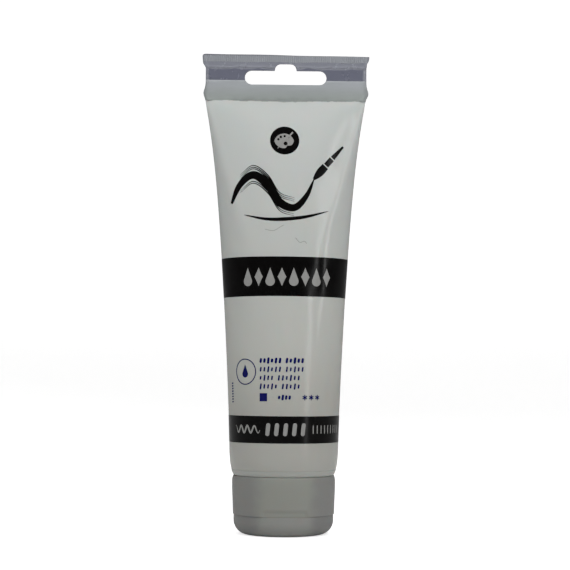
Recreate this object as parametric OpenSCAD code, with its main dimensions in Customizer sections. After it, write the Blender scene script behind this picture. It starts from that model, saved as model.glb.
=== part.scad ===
// Flip-top squeeze tube of artist's paint, standing on its lid.
// Origin: centre of the standing face. +Z runs up the tube, X across its flat end, and the printed front faces -Y.

/* [Tube] */
// Outer diameter of the round sleeve
tube_d = 40; // [32:0.5:50]
// Wall of the extruded sleeve
sleeve_wall = 0.5; // [0.35:0.05:0.8]
// Height of the whole tube, from the standing face to the cut edge
total_h = 177; // [140:1:220]
// Height of the rounded edge where the sleeve closes on the shoulder
edge_round_h = 9.8; // [6:0.1:12]
// How far that rounded edge draws in
edge_round_in = 2.12; // [1.2:0.01:2.4]
// How much narrower the filled tube's flat end is than half its girth
flat_loss = 3.03; // [1:0.01:5]

/* [Hang tab] */
// Thickness of the two sleeve walls pressed together
tab_t = 1.1; // [0.8:0.05:1.6]
// How far the lower weld spreads out at each side
weld_bulge = 0.75; // [0.2:0.05:1]
// Length of the hanging slot
slot_w = 30.4; // [24:0.1:37]
// Height of the hanging slot
slot_h = 5.3; // [4.4:0.1:6.4]
// Height of the slot's lower edge above the tab's start
slot_up = 5.8; // [4.8:0.1:6]
// Width of the hook bump above the slot
hook_w = 8; // [6.6:0.1:9.6]
// Rise of the hook bump above the slot
hook_h = 2.5; // [2:0.1:3]
// Width of the web left between the hook bump and the crimp
hook_web = 0.4; // [0.3:0.1:4]

/* [Crimp] */
// Height of the ribbed crimp band
crimp_h = 3.2; // [2:0.1:6]
// How much narrower the crimp is than half the tube's girth
crimp_loss = 0.43; // [0:0.01:2]
// Spacing of the crimp's ribs
rib_pitch = 0.77; // [0.6:0.01:1.6]
// Depth of the grooves between the ribs
rib_depth = 0.12; // [0.05:0.01:0.25]
// Plain width left at each end of the ribs
rib_margin = 1.2; // [0.5:0.1:3]

/* [Shoulder and neck] */
// Outer radius of the neck, under its thread
neck_r = 8.6; // [7:0.1:10.4]
// Wall of the neck
neck_wall = 1.2; // [0.8:0.1:1.6]
// Length of the neck below the shoulder
neck_l = 12.4; // [10.3:0.1:12.5]
// Thickness of the shoulder
shoulder_t = 1.4; // [1:0.1:2]
// Height of the shoulder's rounded edge that the sleeve leaves bare
bare_edge_h = 1.95; // [1:0.05:3]
// How far the thread stands out of the neck
thread_out = 0.7; // [0.5:0.05:0.85]
// Pitch of the thread
thread_pitch = 2.6; // [2.1:0.1:3.2]
// Number of thread turns
thread_turns = 3; // [2:1:3]
// Thickness of the peel-off seal on the neck
seal_t = 0.15; // [0.1:0.05:0.3]

/* [Cap base] */
// Height of the cap base
base_h = 13.9; // [13.9:0.1:17]
// How far the cap base's rim stands inside the tube's radius
cap_in = 1.13; // [0.5:0.01:2]
// How much the cap base narrows towards the lid
base_taper = 0.37; // [0:0.01:0.8]
// Wall of the cap base
base_wall = 1.3; // [1:0.1:1.6]
// Rounding of the cap base's edge against the tube
rim_round = 1.0; // [0.5:0.1:1.2]
// Thickness of the deck that holds the outlet
deck_t = 1.3; // [1:0.1:1.3]
// Wall of the threaded collar
collar_wall = 1.2; // [0.8:0.1:1.6]
// Radius of the outlet hole
outlet_r = 2.0; // [1.5:0.1:3]
// Wall of the outlet's nozzle
outlet_wall = 1.2; // [0.8:0.1:1.6]
// Length of the nozzle below the deck
outlet_l = 1.8; // [1.2:0.1:2.5]
// Radius of the spud ring round the outlet
spud_r = 8.5; // [7:0.1:10.5]
// Wall of the spud ring
spud_wall = 1.0; // [0.6:0.1:1.4]
// Length of the spud ring below the deck
spud_l = 3.0; // [2:0.1:3.6]
// Height of the thumb groove at the front
thumb_h = 2.0; // [1:0.1:3]
// Depth of the thumb groove
thumb_in = 0.6; // [0.3:0.05:0.8]
// Angle that the thumb groove spans
thumb_angle = 54; // [30:1:70]

/* [Lid] */
// Height of the flip lid
lid_h = 7.3; // [6:0.1:10]
// How far the lid's wall is set in from the cap base
lid_step = 0.26; // [0:0.01:0.6]
// Wall of the lid
lid_wall = 1.2; // [1:0.1:1.6]
// Thickness of the lid's end
lid_end_t = 1.3; // [1:0.1:2]
// Width of the lid's rounded corner
corner_w = 4.8; // [3:0.1:6]
// Height of the lid's rounded corner
corner_h = 5.2; // [3:0.1:5.4]
// How far the lid's plug reaches into the outlet
plug_in = 1.0; // [0.5:0.1:1.2]
// Length of the cone on the plug's tip
plug_tip = 0.4; // [0.2:0.1:0.5]
// Width of the locating lip that the deck puts inside the lid
lip_wall = 0.9; // [0.6:0.1:1.2]
// Length of that lip
lip_l = 1.2; // [0.8:0.1:1.6]

/* [Hinge] */
// Depth of the flat hinge land inside the lid's radius
hinge_land_in = 0.64; // [0.5:0.01:0.8]
// Height of the flat land on each side of the hinge line
hinge_land_h = 4.0; // [2:0.1:5]
// Radius of the film hinge's bead
film_r = 0.4; // [0.3:0.05:0.5]
// Length of the film hinge
film_l = 9.0; // [6:0.1:9]

/* [Clearances] */
// Gap between the lid and the cap base
lid_gap = 0.1; // [0.05:0.01:0.3]
// Gap between the cap base and the shoulder
cap_gap = 0.15; // [0.1:0.01:0.3]
// Radial clearance of the threads
thread_gap = 0.1; // [0.05:0.01:0.2]
// Clearance of the plug in the outlet
plug_gap = 0.15; // [0.12:0.01:0.2]
// Clearance between the locating lip and the lid's wall
lip_gap = 0.25; // [0.2:0.01:0.4]
// Clearance round the film hinge's bead
film_gap = 0.05; // [0.02:0.01:0.1]
// Clearance between the shoulder's skirt and the sleeve
skirt_gap = 0.1; // [0.05:0.01:0.2]
// Clearance between the paint and the walls that hold it
paint_gap = 0.3; // [0.2:0.05:0.5]

/* [Hidden] */

$fn = 96;
EPS = 0.01;
SIDES = 64;       // points round the sleeve
EDGE_RINGS = 7;   // rings up the sleeve's rounded edge
BODY_RINGS = 26;  // rings from there to the weld
ARC_STEPS = 14;   // steps along a quarter arc of an outline
EDGE_STEPS = 8;   // steps along the shoulder's rounded edge
TAB_STEPS = 28;   // steps up each side of the tab

tube_r = tube_d / 2;
flat_half = (PI * tube_r - flat_loss) / 2;     // half width of the sleeve at the weld
crimp_w = PI * tube_r - crimp_loss;
flare = flat_half - tube_r;
tab_half_t = tab_t / 2;

// Heights
base_z = lid_h + lid_gap;                      // underside of the cap base
base_top = base_z + base_h;                    // rim of the cap base, against the shoulder
deck_top = base_z + deck_t;
shoulder_z = base_top + cap_gap;               // underside of the shoulder
floor_z = shoulder_z + shoulder_t;             // floor of the filled tube
sleeve_z = shoulder_z + bare_edge_h;           // lower edge of the sleeve
round_z = base_top + edge_round_h;             // top of the rounded edge
skirt_top = round_z - 1;                       // top of the shoulder's skirt, inside the sleeve
neck_end_z = shoulder_z - neck_l;
nozzle_z = base_z - outlet_l;
crimp_z = total_h - crimp_h;
slot_z = crimp_z - hook_web - hook_h - slot_h; // lower edge of the slot
weld_z = slot_z - slot_up;                     // where the sleeve ends and the tab begins
tab_h = crimp_z - weld_z;

// Radii
base_top_r = tube_r - cap_in;
base_low_r = base_top_r - base_taper;
lid_r = base_low_r - lid_step;
lid_in_r = lid_r - lid_wall;
lip_r = lid_in_r - lip_gap;
neck_bore_r = neck_r - neck_wall;
thread_r = neck_r + thread_out;
collar_bore_r = thread_r + thread_gap;
collar_r = collar_bore_r + collar_wall;
collar_ridge_r = neck_r + 2.5 * thread_gap;    // crest of the collar's own thread
plug_r = outlet_r - plug_gap;
skirt_wall = 1.2;
skirt_lean = 0.6;                              // how much the skirt thickens towards the shoulder
skirt_foot = 2.8;                              // how far its fillet runs in over the shoulder
skirt_foot_h = 2;

// Threads: where the lowest ring lies, and the width of a ridge at its root and crest
thread_start = 2.2;
ridge_root = 1.1;
ridge_crest = 0.5;

// Hinge line, on the face of the flat land
axis_y = lid_r - hinge_land_in;
axis_z = lid_h + lid_gap / 2;

// How the sleeve spreads and flattens between its round end and the weld
SPREAD_SLOW = 0.74;   // share of the flare that comes gradually
SPREAD_POW = 1.3;
SPREAD_END_POW = 6;   // the rest comes near the weld
DEPTH_POW = 0.58;     // below 1, so that the filled tube stays full close to the weld
PINCH = 0.3;          // the section goes from an ellipse to a lens
HOLLOW_END = 0.985;   // the hollow stops just short of the weld
PAINT_END = 0.965;

// Radius of the rounded lower edge at height z
function edge_r(z) =
    let (s = min(1, max(0, (round_z - z) / edge_round_h)))
    tube_r - edge_round_in * (1 - sqrt(1 - s * s));
// Share of the way from the round end to the weld
function up(z) = (z - round_z) / (weld_z - round_z);
function half_w(z) = z <= round_z ? edge_r(z)
    : tube_r + flare * (SPREAD_SLOW * pow(up(z), SPREAD_POW) + (1 - SPREAD_SLOW) * pow(up(z), SPREAD_END_POW));
function half_d(z) = z <= round_z ? edge_r(z)
    : tab_half_t + (tube_r - tab_half_t) * pow(max(0, 1 - up(z) * up(z)), DEPTH_POW);
function pinch(z) = z <= round_z ? 0 : PINCH * pow(up(z), 4);
// Points round the sleeve at height z, a given distance inside its skin
function ring(z, inset) = [for (i = [0:SIDES - 1])
    let (a = 360 * i / SIDES)
    [(half_w(z) - inset) * cos(a), (half_d(z) - inset) * sin(a) * pow(abs(sin(a)), pinch(z)), z]];
function round_ring(z, r) = [for (i = [0:SIDES - 1])
    let (a = 360 * i / SIDES)
    [r * cos(a), r * sin(a), z]];
// Heights of the rings from z0 up, closer together near the weld
function ring_zs(z0, end) = concat(
    [for (k = [0:EDGE_RINGS - 1]) z0 + (round_z - z0) * k / EDGE_RINGS],
    [for (k = [0:BODY_RINGS]) round_z + (weld_z - round_z) * end * sin(90 * k / BODY_RINGS)]);
function joined(rows) = [for (row = rows) for (p = row) p];
// Triangles between rings k and k + 1, facing outwards, with the points numbered from first
function side_faces(k, first) = [for (i = [0:SIDES - 1]) for (half = [0, 1])
    let (a = first + k * SIDES + i, b = first + k * SIDES + (i + 1) % SIDES, c = b + SIDES, d = a + SIDES)
    half == 0 ? [a, d, b] : [b, d, c]];
function wall_faces(n, first) = [for (k = [0:n - 2]) for (f = side_faces(k, first)) f];
function low_end(first) = [for (i = [0:SIDES - 1]) first + i];
function high_end(first) = [for (i = [SIDES - 1:-1:0]) first + i];
function turned(faces) = [for (f = faces) [for (i = [len(f) - 1:-1:0]) f[i]]];
// Points along an arc of an ellipse, from angle a0 to a1
function arc_points(cx, cz, rx, rz, a0, a1) = [for (k = [0:ARC_STEPS])
    let (a = a0 + (a1 - a0) * k / ARC_STEPS) [cx + rx * cos(a), cz + rz * sin(a)]];

module tube_sleeve() {
    outer = [for (z = ring_zs(sleeve_z, 1)) ring(z, 0)];
    inner = [for (z = ring_zs(sleeve_z, HOLLOW_END)) ring(z, sleeve_wall)];
    n = len(outer);
    skin = n * SIDES;
    lower_rim = [for (i = [0:SIDES - 1]) for (half = [0, 1])
        let (a = i, b = (i + 1) % SIDES, c = b + skin, d = a + skin)
        half == 0 ? [a, b, d] : [b, c, d]];
    color([0.84, 0.85, 0.83])
        polyhedron(joined(concat(outer, inner)),
                   concat(wall_faces(n, 0), [high_end(skin - SIDES)],
                          turned(wall_faces(n, skin)), turned([high_end(2 * skin - SIDES)]), lower_rim));
}

// Half width of the tab: the lower weld bulges, and the top spreads to the crimp
function tab_half(z) =
    let (waist = flat_half - 0.25, bulge_z = weld_z + 2.2, bulge_h = 2.4, spread_h = 2.3,
         b = (z - bulge_z) / bulge_h, s = min(1, max(0, (z - crimp_z + spread_h) / spread_h)))
    waist + weld_bulge * exp(-b * b) + (crimp_w / 2 - waist) * s * s * (3 - 2 * s);

module slot_shape() {
    end_r = slot_h / 2;
    bump_r = 0.275 * hook_w;
    bump_top = slot_z + slot_h + hook_h;
    translate([0, slot_z + end_r]) {
        for (side = [-1, 1])
            translate([side * (slot_w / 2 - end_r), 0]) circle(end_r);
        square([slot_w - slot_h, slot_h], center = true);
    }
    for (side = [-1, 1])
        translate([side * (hook_w / 2 - bump_r), bump_top - bump_r]) circle(bump_r);
    translate([bump_r - hook_w / 2, slot_z + end_r])
        square([hook_w - 2 * bump_r, bump_top - slot_z - end_r]);
    translate([-hook_w / 2, slot_z + end_r])
        square([hook_w, bump_top - slot_z - end_r - bump_r]);
}

module hang_tab() {
    zs = [for (k = [0:TAB_STEPS]) weld_z + tab_h * k / TAB_STEPS];
    right = [for (z = zs) [tab_half(z), z]];
    left = [for (k = [TAB_STEPS:-1:0]) [-tab_half(zs[k]), zs[k]]];
    color([0.55, 0.57, 0.60])
        translate([0, tab_half_t, 0])
            rotate([90, 0, 0])
                linear_extrude(tab_t)
                    difference() {
                        polygon(concat(right, left));
                        slot_shape();
                    }
}

module crimp_band() {
    count = floor((crimp_w / 2 - rib_margin) / rib_pitch);
    color([0.60, 0.62, 0.65])
        translate([0, 0, crimp_z])
            linear_extrude(crimp_h)
                difference() {
                    square([crimp_w, tab_t], center = true);
                    for (i = [-count:count])
                        for (side = [-1, 1])
                            translate([i * rib_pitch, side * tab_half_t])
                                square([rib_pitch / 2, 2 * rib_depth], center = true);
                }
}

// One ridge of thread round the axis, with sloped flanks, centred at height z
module thread_ring(root_r, crest_r, z) {
    rotate_extrude()
        polygon([[root_r, z - ridge_root / 2], [crest_r, z - ridge_crest / 2],
                 [crest_r, z + ridge_crest / 2], [root_r, z + ridge_root / 2]]);
}

module shoulder_neck() {
    inset = sleeve_wall + skirt_gap;
    bare_top = sleeve_z - skirt_gap;
    bare_edge = [for (k = [0:EDGE_STEPS])
        let (z = shoulder_z + (bare_top - shoulder_z) * k / EDGE_STEPS) [edge_r(z), z]];
    skirt = [for (k = [0:EDGE_STEPS])
        let (z = sleeve_z + (skirt_top - sleeve_z) * k / EDGE_STEPS) [edge_r(z) - inset, z]];
    skirt_in = edge_r(skirt_top) - inset - skirt_wall;
    profile = concat(
        [[neck_bore_r, neck_end_z], [neck_r, neck_end_z], [neck_r, shoulder_z]], bare_edge, skirt,
        [[skirt_in, skirt_top], [skirt_in - skirt_lean, floor_z + skirt_foot_h],
         [skirt_in - skirt_foot, floor_z], [neck_bore_r, floor_z]]);
    color([0.80, 0.81, 0.79]) {
        rotate_extrude() polygon(profile);
        for (k = [0:thread_turns - 1])
            thread_ring(neck_r - EPS, thread_r, neck_end_z + thread_start + k * thread_pitch);
    }
}

module neck_seal() {
    color([0.78, 0.79, 0.81])
        translate([0, 0, neck_end_z - seal_t])
            cylinder(r = neck_r - skirt_gap, h = seal_t);
}

module paint_fill() {
    neck_fill_r = neck_bore_r - paint_gap;
    low_z = floor_z + paint_gap;
    body_r = edge_r(skirt_top) - sleeve_wall - skirt_gap - skirt_wall - skirt_lean - paint_gap;
    body_zs = [for (z = ring_zs(sleeve_z, PAINT_END)) if (z > skirt_top + paint_gap) z];
    rows = concat(
        [round_ring(neck_end_z + paint_gap, neck_fill_r), round_ring(low_z, neck_fill_r),
         round_ring(low_z + EPS, body_r - skirt_foot), round_ring(low_z + skirt_foot_h, body_r),
         round_ring(skirt_top + paint_gap, body_r)],
        [for (z = body_zs) ring(z, sleeve_wall + paint_gap)]);
    color([0.95, 0.95, 0.93])
        polyhedron(joined(rows),
                   concat([low_end(0)], wall_faces(len(rows), 0), [high_end((len(rows) - 1) * SIDES)]));
}

// A ring-shaped wall of outer radius r, from height z up
module pipe(r, wall, z, h) {
    translate([0, 0, z])
        difference() {
            cylinder(r = r, h = h);
            translate([0, 0, -1]) cylinder(r = r - wall, h = h + 2);
        }
}

// Cuts the flat land at the back, from height z up
module hinge_land(z) {
    translate([-tube_r, axis_y, z]) cube([tube_d, tube_r, hinge_land_h]);
}

// Cuts the half-round groove that the film hinge's bead lies in
module film_groove() {
    translate([-film_l / 2 - film_gap, axis_y, axis_z])
        rotate([0, 90, 0]) cylinder(r = film_r + film_gap, h = film_l + 2 * film_gap);
}

module thumb_groove() {
    slope = 0.4;
    rotate([0, 0, 270 - thumb_angle / 2])
        rotate_extrude(angle = thumb_angle)
            polygon([[base_low_r - thumb_in, base_z - 1], [base_low_r + 1, base_z - 1],
                     [base_low_r + 1, base_z + thumb_h + slope], [base_low_r - thumb_in, base_z + thumb_h - slope]]);
}

module cap_base() {
    straight_z = base_top - rim_round - 3.5;   // the skirt tapers below this height
    collar_top = shoulder_z - 1;
    skirt = concat(
        [[base_low_r - base_wall, base_z], [base_low_r, base_z], [base_top_r, straight_z]],
        arc_points(base_top_r - rim_round, base_top - rim_round, rim_round, rim_round, 0, 90),
        [[base_top_r - base_wall, base_top], [base_top_r - base_wall, straight_z]]);
    color([0.62, 0.63, 0.62])
        difference() {
            union() {
                rotate_extrude() polygon(skirt);
                translate([0, 0, base_z]) cylinder(r = base_low_r - base_wall / 2, h = deck_t);
                pipe(collar_r, collar_wall, deck_top - EPS, collar_top - deck_top);
                for (k = [1:thread_turns - 1])
                    thread_ring(collar_bore_r + EPS, collar_ridge_r,
                                neck_end_z + thread_start + (k - 0.5) * thread_pitch);
                translate([0, 0, nozzle_z]) cylinder(r = outlet_r + outlet_wall, h = outlet_l + EPS);
                pipe(spud_r, spud_wall, base_z - spud_l, spud_l + EPS);
                pipe(lip_r, lip_wall, base_z - lip_l, lip_l + EPS);
            }
            translate([0, 0, nozzle_z - 1]) cylinder(r = outlet_r, h = outlet_l + deck_t + 2);
            hinge_land(base_z - EPS);
            film_groove();
            thumb_groove();
        }
}

module hinge_film() {
    color([0.66, 0.67, 0.66])
        translate([-film_l / 2, axis_y, axis_z])
            rotate([0, 90, 0]) cylinder(r = film_r, h = film_l);
}

module cap_lid() {
    corner_r = lid_r - corner_w;               // radius of the flat standing face
    tip_z = nozzle_z + plug_in;
    outer = concat([[0, 0]], arc_points(corner_r, corner_h, corner_w, corner_h, -90, 0), [[lid_r, lid_h]]);
    inner = concat([[lid_in_r, lid_h]],
                   arc_points(corner_r, corner_h, corner_w - lid_wall, corner_h - lid_end_t, 0, -90),
                   [[0, lid_end_t]]);
    color([0.60, 0.61, 0.60])
        difference() {
            union() {
                rotate_extrude() polygon(concat(outer, inner));
                translate([0, 0, lid_end_t - EPS]) cylinder(r = plug_r, h = tip_z - plug_tip - lid_end_t + EPS);
                translate([0, 0, tip_z - plug_tip]) cylinder(r1 = plug_r, r2 = plug_r - 0.3, h = plug_tip);
            }
            hinge_land(lid_h - hinge_land_h + EPS);
            film_groove();
        }
}

tube_sleeve();
hang_tab();
crimp_band();
shoulder_neck();
neck_seal();
paint_fill();
cap_base();
hinge_film();
cap_lid();
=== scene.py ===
import math

import bmesh
import bpy
import numpy as np
from mathutils import Matrix, Vector


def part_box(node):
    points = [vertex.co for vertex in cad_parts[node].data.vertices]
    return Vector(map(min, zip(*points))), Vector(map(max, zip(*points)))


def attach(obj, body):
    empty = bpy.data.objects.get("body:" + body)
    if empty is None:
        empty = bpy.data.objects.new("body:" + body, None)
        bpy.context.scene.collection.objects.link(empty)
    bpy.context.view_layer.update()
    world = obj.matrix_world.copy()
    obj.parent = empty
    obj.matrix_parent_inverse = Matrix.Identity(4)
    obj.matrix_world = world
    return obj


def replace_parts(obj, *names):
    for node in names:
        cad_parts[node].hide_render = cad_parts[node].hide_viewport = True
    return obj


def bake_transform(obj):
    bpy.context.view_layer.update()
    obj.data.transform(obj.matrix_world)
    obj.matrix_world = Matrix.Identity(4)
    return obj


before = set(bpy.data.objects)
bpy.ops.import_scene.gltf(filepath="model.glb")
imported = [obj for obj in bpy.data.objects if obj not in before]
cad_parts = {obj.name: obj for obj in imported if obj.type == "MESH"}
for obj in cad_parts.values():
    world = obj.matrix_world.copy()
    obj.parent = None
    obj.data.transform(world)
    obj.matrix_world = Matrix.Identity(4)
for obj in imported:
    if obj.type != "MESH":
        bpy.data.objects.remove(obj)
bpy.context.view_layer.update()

MM = 0.001

# ---- sizes read from the parts in model.glb
sleeve_low, sleeve_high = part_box("tube_sleeve")
TAB_HALF_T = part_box("hang_tab")[1].y
crimp_low, crimp_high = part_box("crimp_band")
neck_low, neck_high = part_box("shoulder_neck")
base_low, base_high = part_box("cap_base")
film_low, film_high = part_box("hinge_film")
lid_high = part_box("cap_lid")[1]

TUBE_R = sleeve_high.y
SLEEVE_Z = sleeve_low.z  # lower edge of the sleeve
WELD_Z = sleeve_high.z  # where the sleeve ends and the tab begins
FLAT_HALF = sleeve_high.x  # half width of the sleeve at the weld
CRIMP_Z = crimp_low.z
TOP_Z = crimp_high.z
CRIMP_HALF = crimp_high.x
NECK_END_Z = neck_low.z
SKIRT_TOP = neck_high.z
BASE_TOP = base_high.z
BASE_TOP_R = base_high.x
SPUD_END_Z = base_low.z
LID_H = lid_high.z
LID_R = lid_high.x
HINGE_Y = (film_low.y + film_high.y) / 2
HINGE_Z = (film_low.z + film_high.z) / 2
HINGE_L = film_high.x - film_low.x

# ---- sizes of the sleeve
SLEEVE_WALL = 0.5 * MM
ROUND_Z = BASE_TOP + 9.8 * MM  # top of the rounded lower edge
EDGE_H = ROUND_Z - BASE_TOP
EDGE_IN = 2.12 * MM
FLARE_SHARE, FLARE_POW, FLARE_END_POW = 0.74, 1.3, 6
DEPTH_POW = 0.58
PINCH = 0.3
INK = 0.05 * MM  # how proud the print stands of the skin
INK_STEP = 0.03 * MM  # and each layer of it on the last

# ---- sizes of the tab
SLOT = dict(low=WELD_Z + 5.8 * MM, width=30.4 * MM, height=5.3 * MM, hook_w=8 * MM, hook_h=2.5 * MM)
MILKY_TOP = WELD_Z + 7.4 * MM  # where the sleeve's white layer ends
TAB_SHARP = 50  # degrees past which an edge is shaded sharp
RIB_PITCH = 0.77 * MM
RIB_DEPTH = 0.162 * MM


# ==== mesh helpers
def add_object(name, verts, faces, material, clean=True, sharp=35):
    """A mesh object from points in metres, with smooth shading broken at sharp edges."""
    mesh = bpy.data.meshes.new(name)
    mesh.from_pydata([tuple(v) for v in np.asarray(verts, float)], [], [tuple(f) for f in faces])
    if clean:
        bm = bmesh.new()
        bm.from_mesh(mesh)
        bmesh.ops.remove_doubles(bm, verts=bm.verts, dist=1e-7)
        bmesh.ops.recalc_face_normals(bm, faces=bm.faces)
        bm.to_mesh(mesh)
        bm.free()
    mesh.shade_smooth()
    mesh.set_sharp_from_angle(angle=math.radians(sharp))
    mesh.materials.append(material)
    obj = bpy.data.objects.new(name, mesh)
    bpy.context.scene.collection.objects.link(obj)
    return obj


def full_turn(count):
    """Angles spread evenly round a circle."""
    return np.linspace(0, math.tau, count, endpoint=False)


def unit(angle):
    """The unit vector at an angle."""
    return np.array([math.cos(angle), math.sin(angle)])


def grid_faces(rows, cols, close_rows=False, close_cols=False):
    """Quads over points numbered row by row."""
    last_row = rows if close_rows else rows - 1
    last_col = cols if close_cols else cols - 1
    faces = []
    for i in range(last_row):
        for j in range(last_col):
            k, m = (i + 1) % rows, (j + 1) % cols
            faces.append((i * cols + j, i * cols + m, k * cols + m, k * cols + j))
    return faces


def tube_faces(rows, cols, start=True):
    """Quads of a tube of rings, with its last ring filled, and its first unless start is off."""
    ends = [tuple(range(cols))] if start else []
    ends.append(tuple((rows - 1) * cols + i for i in range(cols)))
    return grid_faces(rows, cols, close_cols=True) + ends


def plate(name, front, back, material, sharp=35):
    """A closed thin plate from two grids of points, one for each side."""
    rows = np.concatenate([front, back[:, ::-1]], 1)
    return add_object(name, rows.reshape(-1, 3), tube_faces(*rows.shape[:2]), material, sharp=sharp)


def rounded(corners, steps=5):
    """A closed outline through corners (a, b, radius) in mm, each rounded to its radius."""
    out = []
    count = len(corners)
    for i, (a, b, radius) in enumerate(corners):
        p = np.array([a, b], float)
        if radius == 0:
            out.append(p)
            continue
        back = np.array(corners[i - 1][:2], float) - p
        on = np.array(corners[(i + 1) % count][:2], float) - p
        back_l, on_l = np.linalg.norm(back), np.linalg.norm(on)
        back, on = back / back_l, on / on_l
        half = math.acos(max(-1, min(1, float(back @ on)))) / 2
        reach = min(radius / math.tan(half), 0.45 * back_l, 0.45 * on_l)
        start, end = p + back * reach, p + on * reach
        for k in range(steps + 1):
            t = k / steps
            out.append((1 - t) ** 2 * start + 2 * t * (1 - t) * p + t * t * end)
    return out


def dense(points, step, closed=True):
    """The same outline with no stretch longer than step."""
    out = []
    count = len(points) if closed else len(points) - 1
    for i in range(count):
        p, q = np.array(points[i], float), np.array(points[(i + 1) % len(points)], float)
        parts = max(1, math.ceil(np.linalg.norm(q - p) / step))
        out += [p + (q - p) * k / parts for k in range(parts)]
    if not closed:
        out.append(np.array(points[-1], float))
    return out


def ellipse_arc(centre, radii, start, end, steps):
    """Points of an ellipse's arc, from one angle to another in degrees."""
    turns = np.radians(np.linspace(start, end, steps + 1))
    return [np.array(centre) + np.array(radii) * unit(a) for a in turns]


def lathe(name, outline, material, closed=True, shape=None, segments=240):
    """An outline of (radius, height) in mm, turned round Z. shape may adjust the points."""
    turn = full_turn(segments)
    r, z = np.array(outline).T * MM
    points = np.stack([np.outer(r, np.cos(turn)), np.outer(r, np.sin(turn)), np.outer(z, turn ** 0)], -1)
    if shape:
        points = shape(points)
    faces = grid_faces(len(outline), segments, close_rows=closed, close_cols=True)
    return add_object(name, points.reshape(-1, 3), faces, material)


def smooth(t):
    """0 to 1 with soft ends."""
    t = np.clip(t, 0, 1)
    return t * t * (3 - 2 * t)


def apply_modifiers(obj):
    """Makes an object's modifiers part of its mesh."""
    graph = bpy.context.evaluated_depsgraph_get()
    mesh = bpy.data.meshes.new_from_object(obj.evaluated_get(graph))
    obj.modifiers.clear()
    obj.data = mesh


# ==== material helpers
class Paint:
    """A Principled material with procedural detail in the object's own coordinates."""

    def __init__(self, name, **sockets):
        self.material = bpy.data.materials.new(name)
        self.material.use_nodes = True
        self.tree = self.material.node_tree
        self.shader = self.tree.nodes["Principled BSDF"]
        for socket, value in sockets.items():
            self.set(self.shader, socket.replace("_", " "), value)
        self.place = self.tree.nodes.new("ShaderNodeTexCoord").outputs["Object"]

    def set(self, node, socket, value):
        if isinstance(value, bpy.types.NodeSocket):
            self.tree.links.new(value, node.inputs[socket])
        else:
            node.inputs[socket].default_value = value

    def node(self, kind, inputs=None, **settings):
        made = self.tree.nodes.new("ShaderNode" + kind)
        for key, value in settings.items():
            setattr(made, key, value)
        for socket, value in (inputs or {}).items():
            self.set(made, socket, value)
        return made

    def noise(self, size, detail=3, stretch=(1, 1, 1)):
        """Noise whose blobs are about size metres across, from 0 to 1."""
        scaled = self.node("Mapping", {"Vector": self.place, "Scale": [s / size for s in stretch]})
        made = self.node("TexNoise", {"Vector": scaled.outputs["Vector"], "Scale": 1.0, "Detail": detail,
                                      "Roughness": 0.55})
        return made.outputs["Fac"]

    def span(self, value, low, high, out_low=0.0, out_high=1.0):
        """A value mapped from one range to another with soft ends."""
        made = self.node("MapRange", {"Value": value, "From Min": low, "From Max": high,
                                      "To Min": out_low, "To Max": out_high})
        made.interpolation_type = "SMOOTHSTEP"
        return made.outputs["Result"]

    def math(self, operation, a, b=0.0):
        return self.node("Math", {0: a, 1: b}, operation=operation).outputs["Value"]

    def mix(self, factor, a, b):
        """Mixes two colours."""
        made = self.node("Mix", data_type="RGBA")
        self.set(made, 0, factor)
        self.set(made, 6, a)
        self.set(made, 7, b)
        return made.outputs[2]

    def axis(self, name):
        return self.node("SeparateXYZ", {"Vector": self.place}).outputs[name]

    def off_middle(self):
        """Distance from the middle of the tube's width."""
        return self.math("ABSOLUTE", self.axis("X"))

    def bump(self, height, distance, strength, under=None):
        made = self.node("Bump", {"Height": height, "Distance": distance, "Strength": strength})
        if under is not None:
            self.set(made, "Normal", under)
        return made.outputs["Normal"]

    def colour(self, value):
        self.set(self.shader, "Base Color", value)

    def rough(self, low, high, size, stretch=(1, 1, 1)):
        """Roughness that drifts between two values in blobs of that size."""
        self.set(self.shader, "Roughness", self.span(self.noise(size, 3, stretch), 0.3, 0.7, low, high))

    def normal(self, value):
        self.set(self.shader, "Normal", value)


def rgb(r, g, b):
    """An opaque colour."""
    return (r, g, b, 1.0)


def scratches(paint, size, cut):
    """Thin random lines: where stretched noise crosses its middle value."""
    lines = paint.math("ABSOLUTE", paint.math("SUBTRACT", paint.noise(size, 1, (1, 1, 0.2)), 0.5))
    return paint.span(lines, 0.0, cut, 1.0, 0.0)


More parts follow.
